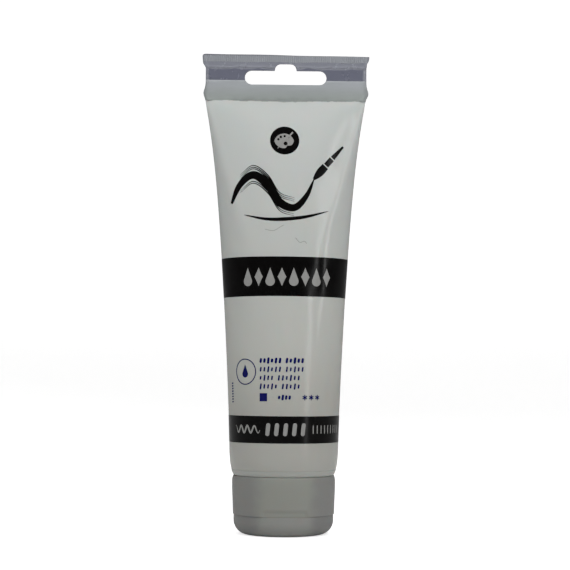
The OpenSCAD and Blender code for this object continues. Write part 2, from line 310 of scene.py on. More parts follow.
# ==== materials
def sleeve_material():
    """Glossy soft polyethylene, white, with painted shade that makes it a little greyer and warmer towards
    the shoulder, where less of the light from above falls.
    """
    p = Paint("white_sleeve", Subsurface_Weight=0.12, Subsurface_Scale=1.2 * MM, Specular_IOR_Level=0.45,
              IOR=1.45)
    # Painted shade: darker from the weld down to the shoulder, and darker still below 50 mm above the cap,
    # where less of the light from above falls.
    height = p.span(p.axis("Z"), SLEEVE_Z, WELD_Z)
    body = p.mix(height, rgb(0.62, 0.62, 0.575), rgb(0.70, 0.725, 0.71))
    body = p.mix(p.span(p.axis("Z"), BASE_TOP + 15 * MM, BASE_TOP + 50 * MM), rgb(0.525, 0.525, 0.487), body)
    cloud = p.span(p.noise(40 * MM, 1), 0.3, 0.7, 0.0, 0.04)
    body = p.mix(cloud, body, rgb(0.55, 0.57, 0.56))
    scuff = p.math("MULTIPLY", scratches(p, 11 * MM, 0.0025), p.span(p.noise(18 * MM, 1), 0.56, 0.64))
    body = p.mix(p.math("MULTIPLY", scuff, 0.06), body, rgb(0.36, 0.37, 0.35))
    # The weld's shade sags in the middle and is a little ragged.
    far = p.math("POWER", p.math("DIVIDE", p.axis("X"), 0.8 * FLAT_HALF), 2.0)
    sag = p.math("MULTIPLY", p.math("MAXIMUM", p.math("SUBTRACT", 1.0, far), 0.0), -0.75 * MM)
    sag = p.math("ADD", sag, p.span(p.noise(3 * MM, 2), 0.35, 0.65, 0.0, -0.35 * MM))
    above = p.math("SUBTRACT", p.math("SUBTRACT", p.axis("Z"), WELD_Z), sag)
    p.colour(p.mix(p.span(above, -0.25 * MM, 0.1 * MM, 0.0, 0.85), body, rgb(0.30, 0.325, 0.315)))
    p.rough(0.16, 0.22, 16 * MM, (1, 1, 0.3))
    peel = p.bump(p.noise(0.9 * MM, 2), 0.01 * MM, 0.4)
    p.normal(p.bump(scuff, 0.005 * MM, 0.3, peel))
    return p.material


def ink_material(name, colour, worn):
    """Printed ink: flat colour with fine pinholes and rubbed patches."""
    p = Paint(name, IOR=1.45, Specular_IOR_Level=0.18)
    rubbed = p.span(p.noise(5 * MM, 4), 0.45, 0.75, 0.0, 0.5)
    grain = p.span(p.noise(0.35 * MM, 1), 0.62, 0.72, 0.0, 0.6)
    wear = p.math("MULTIPLY", p.math("MAXIMUM", grain, scratches(p, 8 * MM, 0.004)), rubbed)
    p.colour(p.mix(wear, colour, worn))
    p.rough(0.14, 0.24, 6 * MM)
    p.normal(p.bump(p.noise(0.8 * MM, 2), 0.01 * MM, 0.3))
    return p.material


def milky_material():
    """The lower weld: two white layers pressed together with no paint behind them."""
    p = Paint("milky_weld", Coat_Weight=0.2, Coat_Roughness=0.25, IOR=1.5)
    height = p.span(p.axis("Z"), WELD_Z, MILKY_TOP)
    edge = p.span(p.off_middle(), FLAT_HALF - 1.2 * MM, FLAT_HALF)
    body = p.mix(height, rgb(0.415, 0.452, 0.44), rgb(0.495, 0.52, 0.555))
    body = p.mix(p.math("MULTIPLY", edge, 0.45), body, rgb(0.24, 0.255, 0.27))
    cloud = p.span(p.noise(4 * MM, 3, (0.4, 1, 2)), 0.4, 0.7, 0.0, 0.25)
    p.colour(p.mix(cloud, body, rgb(0.36, 0.385, 0.385)))
    p.rough(0.3, 0.45, 3 * MM)
    p.normal(p.bump(p.noise(1.6 * MM, 3, (0.5, 1, 1.6)), 0.03 * MM, 0.6))
    return p.material


def clear_material():
    """Clear polyethylene, two layers: bluish grey, lighter where the edges and the crease gather."""
    p = Paint("clear_tab", Coat_Weight=0.3, Coat_Roughness=0.1, IOR=1.5, Transmission_Weight=0.15)
    edge = p.span(p.off_middle(), FLAT_HALF - 1.35 * MM, FLAT_HALF - 1.0 * MM)
    drift = p.span(p.noise(6 * MM, 1), 0.3, 0.7, -0.35 * MM, 0.35 * MM)
    height = p.math("ADD", p.axis("Z"), drift)
    crease = p.span(height, CRIMP_Z - 2.5 * MM, CRIMP_Z - 2.1 * MM)
    light = p.math("MAXIMUM", p.math("MULTIPLY", edge, 0.75), p.math("MULTIPLY", crease, 0.7))
    body = p.mix(light, rgb(0.21, 0.22, 0.29), rgb(0.40, 0.415, 0.475))
    cloud = p.span(p.noise(3 * MM, 3, (0.5, 1, 1.5)), 0.4, 0.8, 0.0, 0.12)
    p.colour(p.mix(cloud, body, rgb(0.30, 0.31, 0.38)))
    p.rough(0.12, 0.3, 3 * MM)
    p.normal(p.bump(p.noise(3.4 * MM, 2, (0.5, 1, 1.4)), 0.03 * MM, 0.5))
    return p.material


def crimp_material():
    """Clear polyethylene frosted by the sealing jaws."""
    p = Paint("ribbed_crimp", Coat_Weight=0.15, Coat_Roughness=0.3, IOR=1.5)
    height = p.span(p.axis("Z"), TOP_Z - 0.9 * MM, TOP_Z - 0.1 * MM)
    body = p.mix(height, rgb(0.375, 0.392, 0.43), rgb(0.17, 0.175, 0.21))
    side = p.span(p.off_middle(), CRIMP_HALF - 1.1 * MM, CRIMP_HALF - 0.3 * MM, 0.0, 0.7)
    body = p.mix(side, body, rgb(0.19, 0.195, 0.235))
    cloud = p.span(p.noise(5 * MM, 4, (1, 1, 0.5)), 0.4, 0.7, 0.0, 0.35)
    p.colour(p.mix(cloud, body, rgb(0.29, 0.305, 0.345)))
    p.rough(0.3, 0.5, 1.5 * MM)
    p.normal(p.bump(p.noise(0.5 * MM, 2), 0.02 * MM, 0.5))
    return p.material


def frosted_material(name, colour, thick, side, seed):
    """Frosted grey polypropylene with painted light and shade: lighter down the middle of the front and back,
    for the neck lit through the plastic behind it, and darker towards the sides and edges. seed varies the
    pattern.
    """
    p = Paint(name, Subsurface_Weight=0.2, Subsurface_Scale=0.8 * MM, IOR=1.4, Specular_IOR_Level=0.3)
    off = p.math("ADD", p.off_middle(), p.span(p.noise(5 * MM, 2), 0.3, 0.7, -0.8 * MM, 0.8 * MM))
    flow = p.span(p.noise(12 * MM * seed, 3, (1, 1, 0.5)), 0.35, 0.7, 0.0, 0.2)
    # Painted light and shade: the middle keeps the lighter colours, and the side colour, a painted shade,
    # takes over beside it and more towards the edges.
    painted_side_shade = p.span(off, 6.5 * MM, 13 * MM, 0.0, 0.75)
    edge = p.span(off, 15.5 * MM, 19 * MM, 0.0, 0.25)
    p.colour(p.mix(p.math("ADD", painted_side_shade, edge), p.mix(flow, colour, thick), side))
    p.rough(0.38, 0.52, 2 * MM * seed)
    fine = p.bump(p.noise(0.25 * MM, 2), 0.012 * MM, 0.5)
    p.normal(p.bump(p.noise(3 * MM, 2, (1, 1, 0.4)), 0.02 * MM, 0.4, fine))
    return p.material


def shoulder_material():
    """Moulded polyethylene of the shoulder and neck, off-white grey."""
    p = Paint("shoulder_plastic", Subsurface_Weight=0.15, Subsurface_Scale=1.5 * MM, IOR=1.5)
    rim = p.span(p.axis("Z"), BASE_TOP - 0.5 * MM, BASE_TOP)
    body = p.mix(rim, rgb(0.82, 0.83, 0.79), rgb(0.53, 0.54, 0.507))
    p.colour(p.mix(p.span(p.noise(6 * MM, 3), 0.35, 0.7, 0.0, 0.15), body, rgb(0.49, 0.50, 0.465)))
    p.rough(0.38, 0.5, 1.5 * MM)
    p.normal(p.bump(p.noise(0.4 * MM, 2), 0.01 * MM, 0.5))
    return p.material


def foil_material():
    """Laminated foil of the peel-off seal, finely embossed."""
    p = Paint("foil_seal", Metallic=0.85, Roughness=0.3)
    p.colour(p.mix(p.noise(2 * MM, 3), rgb(0.75, 0.76, 0.78), rgb(0.62, 0.63, 0.65)))
    p.normal(p.bump(p.noise(0.3 * MM, 1), 0.02 * MM, 0.6))
    return p.material


def paint_material():
    """Wet white acrylic paste."""
    p = Paint("white_paste", Subsurface_Weight=0.2, Subsurface_Scale=1 * MM, IOR=1.45)
    p.colour(p.mix(p.noise(8 * MM, 3), rgb(0.86, 0.86, 0.83), rgb(0.80, 0.80, 0.78)))
    p.rough(0.18, 0.35, 4 * MM)
    p.normal(p.bump(p.noise(3 * MM, 3), 0.1 * MM, 0.5))
    return p.material


def floor_material():
    """A plain pale studio floor and greyer walls, with a glow that only the camera sees."""
    p = Paint("studio_floor", Roughness=0.7)
    wall = p.span(p.axis("Z"), 0.02, 0.2)
    ground = p.mix(p.noise(0.15, 3), rgb(0.84, 0.84, 0.84), rgb(0.80, 0.80, 0.80))
    p.colour(p.mix(wall, ground, rgb(0.5, 0.5, 0.5)))
    seen = p.node("LightPath").outputs["Is Camera Ray"]
    p.set(p.shader, "Emission Color", rgb(1, 1, 1))
    p.set(p.shader, "Emission Strength", p.math("MULTIPLY", seen, p.span(wall, 0.0, 1.0, 0.72, 0.88)))
    return p.material


WHITE = sleeve_material()
BLACK_INK = ink_material("black_ink", rgb(0.0015, 0.0012, 0.0012), rgb(0.012, 0.012, 0.012))
GREY_INK = ink_material("grey_ink", rgb(0.37, 0.37, 0.36), rgb(0.2, 0.2, 0.2))
NAVY_INK = ink_material("navy_ink", rgb(0.005, 0.007, 0.115), rgb(0.06, 0.06, 0.25))
SCUFF_INK = ink_material("scuff_mark", rgb(0.33, 0.34, 0.32), rgb(0.5, 0.5, 0.5))
MILKY = milky_material()
CLEAR = clear_material()
CRIMP = crimp_material()
SHOULDER = shoulder_material()
FOIL = foil_material()
PASTE = paint_material()
# The last colour of each frosted material, before the seed, is the painted shade for its sides.
CAP_GREY = frosted_material("frosted_cap", rgb(0.37, 0.378, 0.345), rgb(0.35, 0.356, 0.328),
                            rgb(0.29, 0.29, 0.285), 1.0)
LID_GREY = frosted_material("frosted_lid", rgb(0.37, 0.373, 0.356), rgb(0.35, 0.352, 0.336),
                            rgb(0.255, 0.255, 0.25), 1.3)


# ==== the sleeve's surface
def edge_radius(z):
    """Radius of the round sleeve, drawn in towards its lower edge."""
    s = np.clip((ROUND_Z - z) / EDGE_H, 0, 1)
    return TUBE_R - EDGE_IN * (1 - np.sqrt(1 - s * s))


def rise(z):
    """Share of the way from the round end to the weld."""
    return np.clip((z - ROUND_Z) / (WELD_Z - ROUND_Z), 0, 1)


def half_width(z):
    """Half of the sleeve's width, which spreads from the round end to the weld."""
    t = rise(z)
    spread = FLARE_SHARE * t ** FLARE_POW + (1 - FLARE_SHARE) * t ** FLARE_END_POW
    return edge_radius(z) + (FLAT_HALF - TUBE_R) * spread


def half_depth(z):
    """Half of the sleeve's depth, which closes up to the weld."""
    t = rise(z)
    return edge_radius(z) - (TUBE_R - TAB_HALF_T) * (1 - (1 - t * t) ** DEPTH_POW)


def section(angle, z, inset=0.0):
    """Points round the sleeve's plain shape, where angle -90 degrees is the middle of the front."""
    sine = np.sin(angle)
    x = (half_width(z) - inset) * np.cos(angle)
    y = (half_depth(z) - inset) * sine * np.abs(sine) ** (PINCH * rise(z) ** 4)
    return np.stack([x, y, z + 0 * x], -1)


# Soft dents of a squeezed, filled sleeve: amplitude in mm, waves round it, wavelength up it in mm, phase
DENTS = [(0.07, 3, 90, 0.4), (0.05, 5, 61, 2.1), (0.035, 8, 37, 4.0), (0.02, 13, 23, 1.2)]


def relief(angle, z):
    """How far the filled sleeve stands out of its plain shape: dents, corner folds, creases at the weld."""
    point = section(angle, z)
    x, below = point[..., 0], WELD_Z - z
    out = sum(a * MM * np.sin(n * angle + math.tau * z / (length * MM) + phase)
              for a, n, length, phase in DENTS) * smooth((z - ROUND_Z) / (25 * MM))
    for side, strength in ((-1, 0.75), (1, 0.85)):
        line = side * (FLAT_HALF - 0.281 * below)
        wide = 1.3 * MM + 0.045 * below
        fade = smooth(below / (4 * MM)) * (1 - smooth((below - 26 * MM) / (42 * MM)))
        out = out + strength * MM * fade * np.exp(-((x - line) / wide) ** 2)
    near = np.exp(-below / (3.2 * MM)) * smooth(below / (1.2 * MM))
    waves = np.sin(x / (1.35 * MM) + 0.7) + 0.8 * np.sin(x / (2.3 * MM) + 2.0) + np.sin(x / (4.1 * MM) + 4.4)
    out = out + 0.18 * MM * near * waves
    return out * np.abs(np.sin(angle)) ** 0.6


def skin(angle, z, out=0.0):
    """Points of the sleeve's skin, or that far proud of it."""
    angle, z = np.broadcast_arrays(np.asarray(angle, float), np.asarray(z, float))
    turn, step = 1e-3, 0.01 * MM
    across = section(angle + turn, z) - section(angle - turn, z)
    along = section(angle, np.minimum(z + step, WELD_Z)) - section(angle, z - step)
    normal = np.cross(across, along)
    normal /= np.linalg.norm(normal, axis=-1, keepdims=True)
    return section(angle, z) + normal * (relief(angle, z) + out - INK)[..., None]


def sleeve_rings(low, high, count, edge_count):
    """Heights of the rings from the lower edge up, closer together near the weld."""
    lower = np.linspace(low, ROUND_Z, edge_count, endpoint=False)
    upper = ROUND_Z + (high - ROUND_Z) * np.sin(np.linspace(0, math.pi / 2, count))
    return np.concatenate([lower, upper])


def build_sleeve():
    """The filled sleeve: an outer and an inner skin joined round the lower edge."""
    around = full_turn(288)
    heights = sleeve_rings(SLEEVE_Z + 0.1 * MM, WELD_Z, 170, 12)[::-1]
    outer = [skin(around, z) for z in heights]
    rim = [(0.03, 0.02), (0.0, 0.08), (0.0, 0.42), (0.06, 0.48)]
    lip = [section(around, SLEEVE_Z + up * MM, INK + inset * MM) for up, inset in rim]
    inner = [section(around, z, SLEEVE_WALL)
             for z in sleeve_rings(SLEEVE_Z + 0.16 * MM, WELD_Z - 2 * MM, 60, 12)]
    rows = outer + lip + inner
    obj = add_object("sleeve_skin", np.concatenate(rows), tube_faces(len(rows), len(around)), WHITE, sharp=60)
    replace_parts(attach(obj, "tube"), "tube_sleeve")


def build_paste():
    """The paint inside, a little clear of the sleeve, shoulder and neck."""
    around = full_turn(128)
    gap = 0.3 * MM
    low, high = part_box("paint_fill")
    bore = 7.1 * MM
    floor_z = SLEEVE_Z - 0.25 * MM
    body = edge_radius(SKIRT_TOP) - 2.7 * MM
    circle = np.stack([np.cos(around), np.sin(around), 0 * around], -1)
    up = np.array([0, 0, 1])
    steps = [(0, low.z), (0.6 * bore, low.z + 0.05 * MM), (bore, low.z + 0.5 * MM), (bore, floor_z),
             (body - 2.8 * MM, floor_z + 0.02 * MM), (body - 1.0 * MM, floor_z + 0.6 * MM),
             (body, floor_z + 2 * MM), (body, SKIRT_TOP + gap)]
    rows = [r * circle + z * up for r, z in steps]
    rows += [section(around, z, SLEEVE_WALL + gap)
             for z in sleeve_rings(SLEEVE_Z, high.z, 60, 30) if z > SKIRT_TOP + 1.5 * gap]
    faces = tube_faces(len(rows), len(around), start=False)
    obj = add_object("paint_paste", np.concatenate(rows), faces, PASTE)
    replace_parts(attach(obj, "tube"), "paint_fill")


# ==== the hang tab and the crimp
def crimp_half(up, right):
    """Half width of the crimp at a share of its height: round at the left, cornered at the right."""
    up = np.clip(up, 0, 1)
    rounding = 0.65 * np.clip((up - 0.72) / 0.28, 0, 1) ** 2.6
    left_edge = CRIMP_HALF - (0.2 + 0.2 * (1 - up) ** 2 + rounding) * MM
    right_edge = CRIMP_HALF - (0.1 * (1 - up) + 0.75 * (1 - up) ** 3) * MM
    return np.where(right, right_edge, left_edge)


def tab_half(z, right=True):
    """Half width of the tab: the lower weld bulges, and the top spreads to the crimp."""
    high = smooth((z - WELD_Z) / (3 * MM))
    waist = FLAT_HALF - 0.25 * MM + np.where(right, 0.45, 0.1) * MM * high
    bulge = 0.8 * MM * np.exp(-((z - WELD_Z - 2.4 * MM) / (2.2 * MM)) ** 2)
    spread = smooth((z - CRIMP_Z + 2.3 * MM) / (2.3 * MM))
    return waist + bulge + (crimp_half(0.0, right) - waist) * spread


def slot_outline():
    """The hanging slot with the hook bump above it, as (x, z)."""
    end = SLOT["height"] / 2
    middle = SLOT["low"] + end
    reach = SLOT["width"] / 2 - end
    top = SLOT["low"] + SLOT["height"]
    hook = SLOT["hook_w"] / 2
    corner = 0.55 * hook
    flare = 0.35 * MM
    right = ellipse_arc((reach, middle), (end, end), -90, 90, 24)
    right += [np.array([hook + flare * (1 + math.cos(a)), top + flare * (1 - math.sin(a))])
              for a in np.linspace(math.pi / 2, math.pi, 6)]
    right += ellipse_arc((hook - corner, top + SLOT["hook_h"] - corner), (corner, corner), 0, 90, 12)
    return right + [np.array([-x, z]) for x, z in right[::-1]]


def tab_relief(x, z):
    """Half thickness of the tab: beads along its sides, a puffed clear part and a wavy crease."""
    side = (tab_half(z, x > 0) - np.abs(x)) / MM
    bead = 0.22 * np.exp(-((side - 0.9) / 0.75) ** 2)
    taper = np.sqrt(np.clip(side / 0.9, 0, 1) * (2 - np.clip(side / 0.9, 0, 1)))
    puff = 0.16 * np.sin(math.pi * np.clip((z - MILKY_TOP) / (CRIMP_Z - MILKY_TOP), 0, 1))
    wave = 0.35 * np.sin(x / (2.9 * MM) + 0.6) + 0.3 * np.sin(x / (1.3 * MM) + 1.9)
    crease = 0.34 * np.exp(-((z - (CRIMP_Z - 1.75 * MM) - 0.3 * MM * wave) / (0.3 * MM)) ** 2)
    dip = 0.2 * np.exp(-((z - MILKY_TOP) / (0.25 * MM)) ** 2)
    weld = 0.06 * np.sin(x / (3.1 * MM)) * np.sin((z - WELD_Z) / (1.3 * MM))
    ripple = 0.1 * np.sin(x / (0.9 * MM) + 1) * np.exp(-((z - WELD_Z) / (0.8 * MM)) ** 2)
    flat = 0.42 + bead + puff + crease - dip + weld + ripple
    return np.maximum(0.05, flat * taper) * MM


def build_tab():
    """The flattened end above the weld, with its hanging slot cut through."""
    across = np.sin(np.linspace(-math.pi / 2, math.pi / 2, 181))
    up = np.unique(np.concatenate([np.linspace(WELD_Z - 0.25 * MM, CRIMP_Z + 0.3 * MM, 62), [MILKY_TOP]]))
    z = np.repeat(up[:, None], len(across), 1)
    x = tab_half(z, across > 0) * across
    t = tab_relief(x, z)
    tab = plate("tab_film", np.stack([x, -t, z], -1), np.stack([x, t, z], -1), MILKY, TAB_SHARP)
    outline = slot_outline()
    cut_points = [(p[0], y, p[1]) for y in (-3 * MM, 3 * MM) for p in outline]
    cutter = add_object("slot_cutter", cut_points, tube_faces(2, len(outline)), MILKY)
    cut = tab.modifiers.new("slot", "BOOLEAN")
    cut.object, cut.solver = cutter, "EXACT"
    apply_modifiers(tab)
    bpy.data.objects.remove(cutter)
    mesh = tab.data
    mesh.materials.clear()
    mesh.materials.append(MILKY)
    mesh.materials.append(CLEAR)
    for face in mesh.polygons:
        face.material_index = 1 if face.center.z > MILKY_TOP else 0
    mesh.set_sharp_from_angle(angle=math.radians(TAB_SHARP))
    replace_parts(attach(tab, "tube"), "hang_tab")


def build_crimp():
    """The band at the top edge, pressed into fine upright ribs and cut a little askew."""
    per_rib = 8
    count = int(2 * CRIMP_HALF / RIB_PITCH * per_rib)
    across = np.linspace(-1, 1, count + 1)
    up = np.concatenate([[0, 0.05, 0.12, 0.2], np.linspace(0.26, 0.84, 7), [0.89, 0.94, 0.98, 1.0]])
    height = TOP_Z - CRIMP_Z
    u, v = np.meshgrid(across, up)
    x = crimp_half(v, u > 0) * u
    skew = 0.5 * MM * smooth((x + CRIMP_HALF) / (2 * CRIMP_HALF)) + 0.05 * MM * np.sin(x / (4.5 * MM))
    z = CRIMP_Z + v * (height - 0.06 * MM - skew)
    ribs = 0.5 + 0.5 * np.cos(math.tau * x / RIB_PITCH)
    inside = smooth((CRIMP_HALF - 1.0 * MM - np.abs(x)) / (0.8 * MM))
    pressed = smooth(v / 0.14) * smooth((1 - v) / 0.1) * inside
    side = np.clip((1 - np.abs(u)) * CRIMP_HALF / (0.5 * MM), 0, 1)
    swell = 0.04 * MM * np.sin(x / (3.7 * MM) + 1.1)
    t = TAB_HALF_T - RIB_DEPTH * ribs * pressed - 0.06 * MM + swell * pressed
    t = t * (0.35 + 0.65 * np.sqrt(side * (2 - side))) * np.where(v > 0.97, 0.8, 1.0)
    t = t * (0.72 + 0.28 * smooth(v / 0.12))
    obj = plate("crimp_ribs", np.stack([x, -t, z], -1), np.stack([x, t, z], -1), CRIMP, 60)
    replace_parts(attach(obj, "tube"), "crimp_band")


# ==== shoulder, neck and seal
# Sizes in mm, except the number of turns
NECK_R, NECK_BORE_R, THREAD_R = 8.6, 7.4, 9.3
THREAD_PITCH, THREAD_TURNS = 2.6, 2.5
RIDGE_ROOT, RIDGE_FLANK, RIDGE_CREST = 0.55, 0.3, 0.18  # half heights of the thread's ridge
SHOULDER_T, SKIRT_IN, SKIRT_WALL = 1.4, 0.6, 1.2
JOINT_GAP = 0.04


def build_shoulder():
    """The shoulder with its skirt inside the sleeve, and the neck."""
    low = BASE_TOP / MM + JOINT_GAP
    floor = low + SHOULDER_T
    bare_top = SLEEVE_Z / MM - 0.02
    rim = [(edge_radius(z * MM) / MM, z) for z in np.linspace(low, bare_top, 12)]
    skirt_zs = np.linspace(SLEEVE_Z / MM, SKIRT_TOP / MM, 12)
    skirt = [(edge_radius(z * MM) / MM - SKIRT_IN, z) for z in skirt_zs]
    inner = edge_radius(SKIRT_TOP) / MM - SKIRT_IN - SKIRT_WALL
    end = NECK_END_Z / MM
    corners = ([(NECK_BORE_R, end, 0.2), (NECK_R, end, 0.3), (NECK_R, low, 0.35)]
               + [(r, z, 0.06 if i in (0, 11) else 0) for i, (r, z) in enumerate(rim)]
               + [(r, z, 0) for r, z in skirt]
               + [(inner, SKIRT_TOP / MM, 0.3), (inner - 0.6, floor + 2, 1.0), (inner - 2.8, floor, 1.0),
                  (NECK_BORE_R, floor, 0.8)])
    obj = lathe("shoulder_and_neck", rounded(corners, 4), SHOULDER)
    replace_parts(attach(obj, "tube"), "shoulder_neck")


def build_thread():
    """The neck's screw thread, a ridge that runs out to nothing at both ends."""
    root_r, start_z = NECK_R - 0.05, NECK_END_Z / MM + 1.5
    rows = []
    turns = np.linspace(0, THREAD_TURNS, 240)
    for t in turns:
        end_fade = float(smooth(min(t, THREAD_TURNS - t) / 0.15))
        crest = root_r + (THREAD_R - root_r) * max(0.02, end_fade)
        a = math.tau * t
        z = start_z + THREAD_PITCH * t
        half = [(root_r, RIDGE_ROOT), (crest - 0.08, RIDGE_FLANK), (crest, RIDGE_CREST)]
        profile = [(r, z - h) for r, h in half] + [(r, z + h) for r, h in half[::-1]]
        rows += [(r * MM * math.cos(a), r * MM * math.sin(a), h * MM) for r, h in profile]
    obj = add_object("neck_thread", rows, tube_faces(len(turns), len(profile)), SHOULDER)
    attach(obj, "tube")


def build_seal():
    """Foil disc over the neck's end, dished over the bore, with a raised weld ring."""
    low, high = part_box("neck_seal")
    top, edge, low = high.z / MM, high.x / MM, low.z / MM
    outline = [(0, top - 0.01), (edge - 0.05, top - 0.01), (edge, top - 0.05), (edge, low + 0.03)]
    outline += [(edge - 0.03, low), (NECK_BORE_R + 0.1, low), (NECK_BORE_R - 0.2, low + 0.06)]
    outline += [(r, low + 0.06 + 0.012 * math.cos(r * 5)) for r in np.linspace(NECK_BORE_R - 0.5, 0.3, 26)]
    outline += [(0, low + 0.06)]
    obj = lathe("foil_disc", outline, FOIL, closed=False, segments=120)
    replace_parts(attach(obj, "tube"), "neck_seal")


# ==== the cap and its lid
# Sizes in mm, angles in radians
LAND_H = 4.0
GROOVE = dict(top=2.0, depth=0.35, half_angle=math.radians(27))
CAP_WALL, LID_WALL = 1.3, 1.2
COLLAR_R, COLLAR_BORE_R, COLLAR_GROOVE = 10.6, 9.42, 0.3
OUTLET_R, NOZZLE_R, PLUG_R = 2.0, 3.2, 1.85
SPUD_BORE_R, SPUD_R = 7.5, 8.5


def flat_land(points, low, high):
    """Cuts the hinge's flat land between two heights at the back."""
    z = points[..., 2]
    inside = (z > low) & (z < high)
    points[..., 1] = np.where(inside, np.minimum(points[..., 1], HINGE_Y), points[..., 1])
    return points


def build_cap():
    """The cap base: skirt, deck, threaded collar, outlet nozzle, spud ring and locating lip."""
    low = LID_H / MM + JOINT_GAP
    top, rim_r = BASE_TOP / MM, BASE_TOP_R / MM
    low_r, straight = rim_r - 0.37, top - 4.5
    deck, collar_top = low + 1.3, top - 0.85
    nozzle_z, spud_z, lip_z = low - 1.8, SPUD_END_Z / MM, low - 1.2
    lip_r = LID_R / MM - 1.45
    land_z = low + LAND_H
    corners = [(low_r, low, 0.06), (low_r + 0.1, low + 2.0, 0), (low_r + 0.15, land_z - 0.02, 0),
               (low_r + 0.15, land_z + 0.02, 0), (rim_r, straight, 0), (rim_r, top - 1.7, 0),
               (rim_r - 0.1, top - 0.9, 0), (rim_r - 0.35, top - 0.12, 0.1), (rim_r - 0.5, top, 0.1),
               (rim_r - CAP_WALL, top, 0.25), (rim_r - CAP_WALL, straight, 0), (low_r - CAP_WALL, deck, 0.6),
               (COLLAR_R, deck, 0.4), (COLLAR_R, collar_top, 0.25), (COLLAR_BORE_R, collar_top, 0.35)]
    for z in np.linspace(collar_top - 1.2, deck + 1.6, 60):
        groove = COLLAR_GROOVE * (0.5 - 0.5 * math.cos(math.tau * z / THREAD_PITCH))
        corners.append((COLLAR_BORE_R + groove, z, 0))
    corners += [(COLLAR_BORE_R, deck, 0.2), (OUTLET_R, deck, 0.35), (OUTLET_R, nozzle_z, 0.2),
                (NOZZLE_R, nozzle_z, 0.3), (NOZZLE_R, low, 0.25), (SPUD_BORE_R, low, 0.2),
                (SPUD_BORE_R, spud_z, 0.3), (SPUD_R, spud_z, 0.3), (SPUD_R, low, 0.25),
                (lip_r - 0.9, low, 0.2), (lip_r - 0.9, lip_z, 0.25), (lip_r, lip_z, 0.3), (lip_r, low, 0.15)]

    def shape(points):
        x, y, z = points[..., 0], points[..., 1], points[..., 2]
        r = np.hypot(x, y)
        turn = np.abs(np.arctan2(x, -y))
        wide = smooth((GROOVE["half_angle"] - turn) / math.radians(4))
        tall = smooth((low + GROOVE["top"] + 0.4 - z / MM) / 0.8)
        outer = r > (low_r - 0.6) * MM
        depth = np.where(outer, GROOVE["depth"] * MM * wide * tall, 0)
        scale = (r - depth) / r
        points[..., 0], points[..., 1] = x * scale, y * scale
        return flat_land(points, (low - 0.1) * MM, land_z * MM)

    outline = dense(rounded(corners, 5), 0.6)
    obj = lathe("cap_shell", outline, CAP_GREY, shape=shape)
    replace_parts(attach(obj, "cap"), "cap_base")


def build_lid():
    """The flip lid, with the plug that closes the outlet."""
    top, wall_r = LID_H / MM, LID_R / MM
    inside_r = wall_r - LID_WALL
    corner_w, corner_h = 4.8, 5.2
    flat_r = wall_r - corner_w
    tip, floor_z = top - 0.7, 1.3
    gate = [(0, 0.42), (0.55, 0.42), (0.75, 0.3), (1.6, 0.22)]
    foot = [(8.6, 0.22), (9.1, 0.16), (9.6, 0.02), (9.9, 0)]
    outline = [np.array(p, float) for p in gate + foot]
    outline += ellipse_arc((flat_r, corner_h), (corner_w, corner_h), -90, 0, 26)
    outline += rounded([(wall_r, corner_h + 0.01, 0), (wall_r, top, 0.06), (inside_r, top, 0.2),
                        (inside_r, corner_h + 0.01, 0)])
    outline += ellipse_arc((flat_r, corner_h), (corner_w - LID_WALL, corner_h - floor_z), 0, -90, 22)
    outline += rounded([(3.0, floor_z, 0), (PLUG_R, floor_z, 0.4), (PLUG_R, tip - 0.4, 0.05),
                        (1.5, tip, 0.15), (0, tip, 0)])
    land = (top - LAND_H) * MM
    obj = lathe("flip_lid", dense(outline, 0.5, closed=False), LID_GREY, closed=False,
                shape=lambda points: flat_land(points, land, LID_H + MM))
    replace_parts(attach(obj, "lid"), "cap_lid")


def build_hinge():
    """The living hinge: a thin film along the hinge line between two pads, one on each flat land."""
    reach, half_l = 3.3 * MM, HINGE_L / 2
    film, pad = 0.05 * MM, 0.32 * MM
    along = np.linspace(-1, 1, 61)
    across = np.sin(np.linspace(-math.pi / 2, math.pi / 2, 31))
    u, v = np.meshgrid(across, along)
    corner = np.clip((np.abs(v) - 0.8) / 0.2, 0, 1)
    width = half_l - 0.9 * MM * (1 - np.sqrt(1 - corner ** 2))
    x, rise_z = u * width, v * reach
    thick = film + (pad - film) * smooth((np.abs(rise_z) - 1.0 * MM) / (1.3 * MM))
    edge = np.clip((1 - np.abs(u)) / 0.06, 0, 1) * np.clip((1 - np.abs(v)) / 0.05, 0, 1)
    thick = 0.02 * MM + thick * np.sqrt(edge * (2 - edge))
    outer = np.stack([x, HINGE_Y + thick, HINGE_Z + rise_z], -1)
    inner = np.stack([x, HINGE_Y + 0.005 * MM + 0 * x, HINGE_Z + rise_z], -1)
    obj = plate("hinge_strap", outer, inner, CAP_GREY)
    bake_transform(obj)
    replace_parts(obj, "hinge_film")


# ==== the print
# A print shape is (points, faces): points are (distance along the skin from the middle, height) in mm.
def star_shape(centre, radius, rings, points):
    """A shape whose edge lies at radius(angle) from its centre."""
    turns = full_turn(points)
    verts = [np.array(centre, float)]
    for k in range(1, rings + 1):
        verts += [centre + k / rings * radius(a) * unit(a) for a in turns]
    faces = [(0, 1 + i, 1 + (i + 1) % points) for i in range(points)]
    for k in range(rings - 1):
        low, high = 1 + k * points, 1 + (k + 1) * points
        faces += [(low + i, high + i, high + (i + 1) % points, low + (i + 1) % points) for i in range(points)]
    return np.array(verts), faces


def disc(centre, r, rings, points):
    """A filled circle."""
    return star_shape(centre, lambda a: r, rings, points)


def diamond(centre, half_w, half_h):
    """A lozenge with slightly hollow sides."""
    def edge(a):
        c, s = abs(math.cos(a)) / half_w, abs(math.sin(a)) / half_h
        return 1 / (c ** 0.92 + s ** 0.92) ** (1 / 0.92)
    return star_shape(centre, edge, 5, 64)


